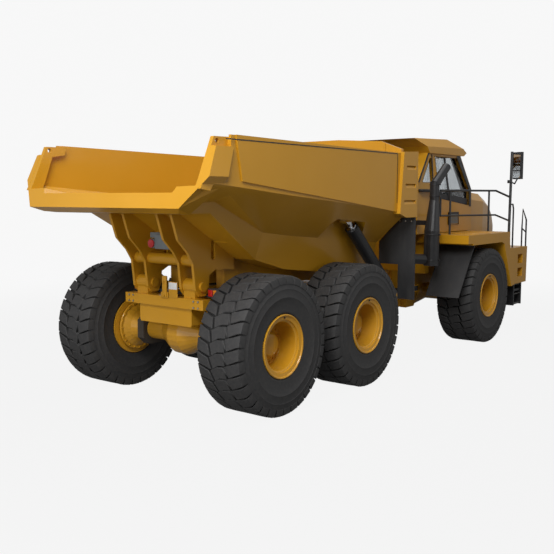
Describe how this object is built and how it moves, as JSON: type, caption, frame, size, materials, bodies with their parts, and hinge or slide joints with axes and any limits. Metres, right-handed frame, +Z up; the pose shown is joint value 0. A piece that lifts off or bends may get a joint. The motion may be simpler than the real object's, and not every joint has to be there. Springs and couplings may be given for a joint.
{
  "type": "articulated dump truck",
  "caption": "Six-wheeled articulated dump truck: cab and hood on a front frame, hitched to a rear frame that carries a tipping load body.",
  "frame": {"origin": "on the ground under the middle of the truck's bounding box", "axes": "+X toward the hood, +Y to the driver's left, +Z up"},
  "size_m": [10.89, 3.5464, 3.757],
  "materials": {
    "yellow_paint": "semi-gloss golden yellow",
    "black_paint": "satin black",
    "tyre_rubber": "matte",
    "flap_rubber": "matte",
    "tinted_glass": "clear, lightly tinted",
    "dark_plastic": "matte",
    "seat_cloth": "woven",
    "cast_iron": "painted dark",
    "lamp_plastic": "clear lens over a reflector",
    "chrome_rod": "polished"
  },
  "bodies": {
    "front_frame": {"front_frame": "yellow_paint", "front_axle": "yellow_paint", "engine": "cast_iron", "front_bumper": "yellow_paint", "fender_left": "yellow_paint", "fender_right": "yellow_paint", "fender_flap_left": "flap_rubber", "fender_flap_right": "flap_rubber", "cab_shell": "yellow_paint", "cab_roof": "yellow_paint", "operator_seat": "seat_cloth", "dashboard": "dark_plastic", "exhaust_stack": "black_paint", "cooling_box": "yellow_paint", "handrail_left": "black_paint", "handrail_right": "black_paint", "ladder_left": "black_paint", "ladder_right": "black_paint", "step_rail_left": "black_paint", "step_rail_right": "black_paint", "cab_glazing": "tinted_glass", "headlamp_left": "lamp_plastic", "headlamp_right": "lamp_plastic"},
    "hood": {"hood": "yellow_paint"},
    "cab_door": {"cab_door": "yellow_paint", "door_glass": "tinted_glass"},
    "hitch": {"hitch": "yellow_paint"},
    "rear_frame": {"rear_frame": "yellow_paint", "mid_axle": "yellow_paint", "rear_axle": "yellow_paint", "walking_beam_left": "cast_iron", "walking_beam_right": "cast_iron", "tail_lamps": "dark_plastic", "drive_shaft_rear": "cast_iron"},
    "dump_body": {"dump_body": "yellow_paint", "body_flap_left": "flap_rubber", "body_flap_right": "flap_rubber"},
    "wheel_front_left": {"tyre_front_left": "tyre_rubber", "rim_front_left": "yellow_paint"},
    "wheel_front_right": {"tyre_front_right": "tyre_rubber", "rim_front_right": "yellow_paint"},
    "wheel_mid_left": {"tyre_mid_left": "tyre_rubber", "rim_mid_left": "yellow_paint"},
    "wheel_mid_right": {"tyre_mid_right": "tyre_rubber", "rim_mid_right": "yellow_paint"},
    "wheel_rear_left": {"tyre_rear_left": "tyre_rubber", "rim_rear_left": "yellow_paint"},
    "wheel_rear_right": {"tyre_rear_right": "tyre_rubber", "rim_rear_right": "yellow_paint"},
    "hoist_barrel_left": {"hoist_barrel_left": "black_paint"},
    "hoist_stage_left": {"hoist_stage_left": "chrome_rod"},
    "hoist_rod_left": {"hoist_rod_left": "chrome_rod"},
    "steering_barrel_left": {"steering_barrel_left": "black_paint"},
    "steering_rod_left": {"steering_rod_left": "chrome_rod"},
    "hoist_barrel_right": {"hoist_barrel_right": "black_paint"},
    "hoist_stage_right": {"hoist_stage_right": "chrome_rod"},
    "hoist_rod_right": {"hoist_rod_right": "chrome_rod"},
    "steering_barrel_right": {"steering_barrel_right": "black_paint"},
    "steering_rod_right": {"steering_rod_right": "chrome_rod"}
  },
  "joints": [
    {"name": "steering", "type": "hinge", "parent": "front_frame", "child": "hitch", "pos_m": [0.469, 0, 1.02], "axis": [0, 0, 1], "range_deg": [-45, 45]},
    {"name": "oscillation", "type": "hinge", "parent": "hitch", "child": "rear_frame", "pos_m": [0.469, 0, 1.02], "axis": [1, 0, 0], "range_deg": [-15, 15]},
    {"name": "body_tip", "type": "hinge", "parent": "rear_frame", "child": "dump_body", "pos_m": [-4.29, 0, 1.561], "axis": [0, -1, 0], "range_deg": [0, 70]},
    {"name": "hood_tilt", "type": "hinge", "parent": "front_frame", "child": "hood", "pos_m": [5.159, 0, 1.37], "axis": [0, 1, 0], "range_deg": [0, 60]},
    {"name": "door_swing", "type": "hinge", "parent": "front_frame", "child": "cab_door", "pos_m": [1.549, 0.845, 2.8], "axis": [0, 0, 1], "range_deg": [0, 85]},
    {"name": "wheel_front_left_roll", "type": "hinge", "parent": "front_frame", "child": "wheel_front_left", "pos_m": [2.255, 1.335, 0.875], "axis": [0, 1, 0], "continuous": true},
    {"name": "wheel_front_right_roll", "type": "hinge", "parent": "front_frame", "child": "wheel_front_right", "pos_m": [2.255, -1.335, 0.875], "axis": [0, 1, 0], "continuous": true},
    {"name": "wheel_mid_left_roll", "type": "hinge", "parent": "rear_frame", "child": "wheel_mid_left", "pos_m": [-2.015, 1.335, 0.875], "axis": [0, 1, 0], "continuous": true},
    {"name": "wheel_mid_right_roll", "type": "hinge", "parent": "rear_frame", "child": "wheel_mid_right", "pos_m": [-2.015, -1.335, 0.875], "axis": [0, 1, 0], "continuous": true},
    {"name": "wheel_rear_left_roll", "type": "hinge", "parent": "rear_frame", "child": "wheel_rear_left", "pos_m": [-3.981, 1.335, 0.875], "axis": [0, 1, 0], "continuous": true},
    {"name": "wheel_rear_right_roll", "type": "hinge", "parent": "rear_frame", "child": "wheel_rear_right", "pos_m": [-3.981, -1.335, 0.875], "axis": [0, 1, 0], "continuous": true},
    {"name": "hoist_swing_left", "type": "hinge", "parent": "rear_frame", "child": "hoist_barrel_left", "pos_m": [-0.561, 1.2, 1.12], "axis": [0, -1, 0], "range_deg": [0, 6]},
    {"name": "hoist_stage_slide_left", "type": "slide", "parent": "hoist_barrel_left", "child": "hoist_stage_left", "axis": [-0.736, 0, 0.6769], "range_m": [0, 1.4304]},
    {"name": "hoist_rod_slide_left", "type": "slide", "parent": "hoist_stage_left", "child": "hoist_rod_left", "axis": [-0.736, 0, 0.6769], "range_m": [0, 1.4304]},
    {"name": "steering_swing_left", "type": "hinge", "parent": "front_frame", "child": "steering_barrel_left", "pos_m": [1.369, 0.58, 1.02], "axis": [0, 0, 1], "range_deg": [-6.8, 6.8]},
    {"name": "steering_slide_left", "type": "slide", "parent": "steering_barrel_left", "child": "steering_rod_left", "axis": [-0.9833, -0.1818, 0], "range_m": [-0.3012, 0.3012]},
    {"name": "hoist_swing_right", "type": "hinge", "parent": "rear_frame", "child": "hoist_barrel_right", "pos_m": [-0.561, -1.2, 1.12], "axis": [0, -1, 0], "range_deg": [0, 6]},
    {"name": "hoist_stage_slide_right", "type": "slide", "parent": "hoist_barrel_right", "child": "hoist_stage_right", "axis": [-0.736, 0, 0.6769], "range_m": [0, 1.4304]},
    {"name": "hoist_rod_slide_right", "type": "slide", "parent": "hoist_stage_right", "child": "hoist_rod_right", "axis": [-0.736, 0, 0.6769], "range_m": [0, 1.4304]},
    {"name": "steering_swing_right", "type": "hinge", "parent": "front_frame", "child": "steering_barrel_right", "pos_m": [1.369, -0.58, 1.02], "axis": [0, 0, 1], "range_deg": [-6.8, 6.8]},
    {"name": "steering_slide_right", "type": "slide", "parent": "steering_barrel_right", "child": "steering_rod_right", "axis": [-0.9833, 0.1818, 0], "range_m": [-0.3012, 0.3012]}
  ],
  "couplings": [
    {"joint": "hoist_swing_left", "follows": "body_tip", "ratio": 0.05847},
    {"joint": "hoist_stage_slide_left", "follows": "body_tip", "m_per_rad": 1.1691},
    {"joint": "hoist_rod_slide_left", "follows": "body_tip", "m_per_rad": 1.1691},
    {"joint": "steering_swing_left", "follows": "steering", "ratio": 0.14732},
    {"joint": "steering_slide_left", "follows": "steering", "m_per_rad": 0.38227},
    {"joint": "hoist_swing_right", "follows": "body_tip", "ratio": 0.05847},
    {"joint": "hoist_stage_slide_right", "follows": "body_tip", "m_per_rad": 1.1691},
    {"joint": "hoist_rod_slide_right", "follows": "body_tip", "m_per_rad": 1.1691},
    {"joint": "steering_swing_right", "follows": "steering", "ratio": 0.14732},
    {"joint": "steering_slide_right", "follows": "steering", "m_per_rad": -0.38227}
  ]
}
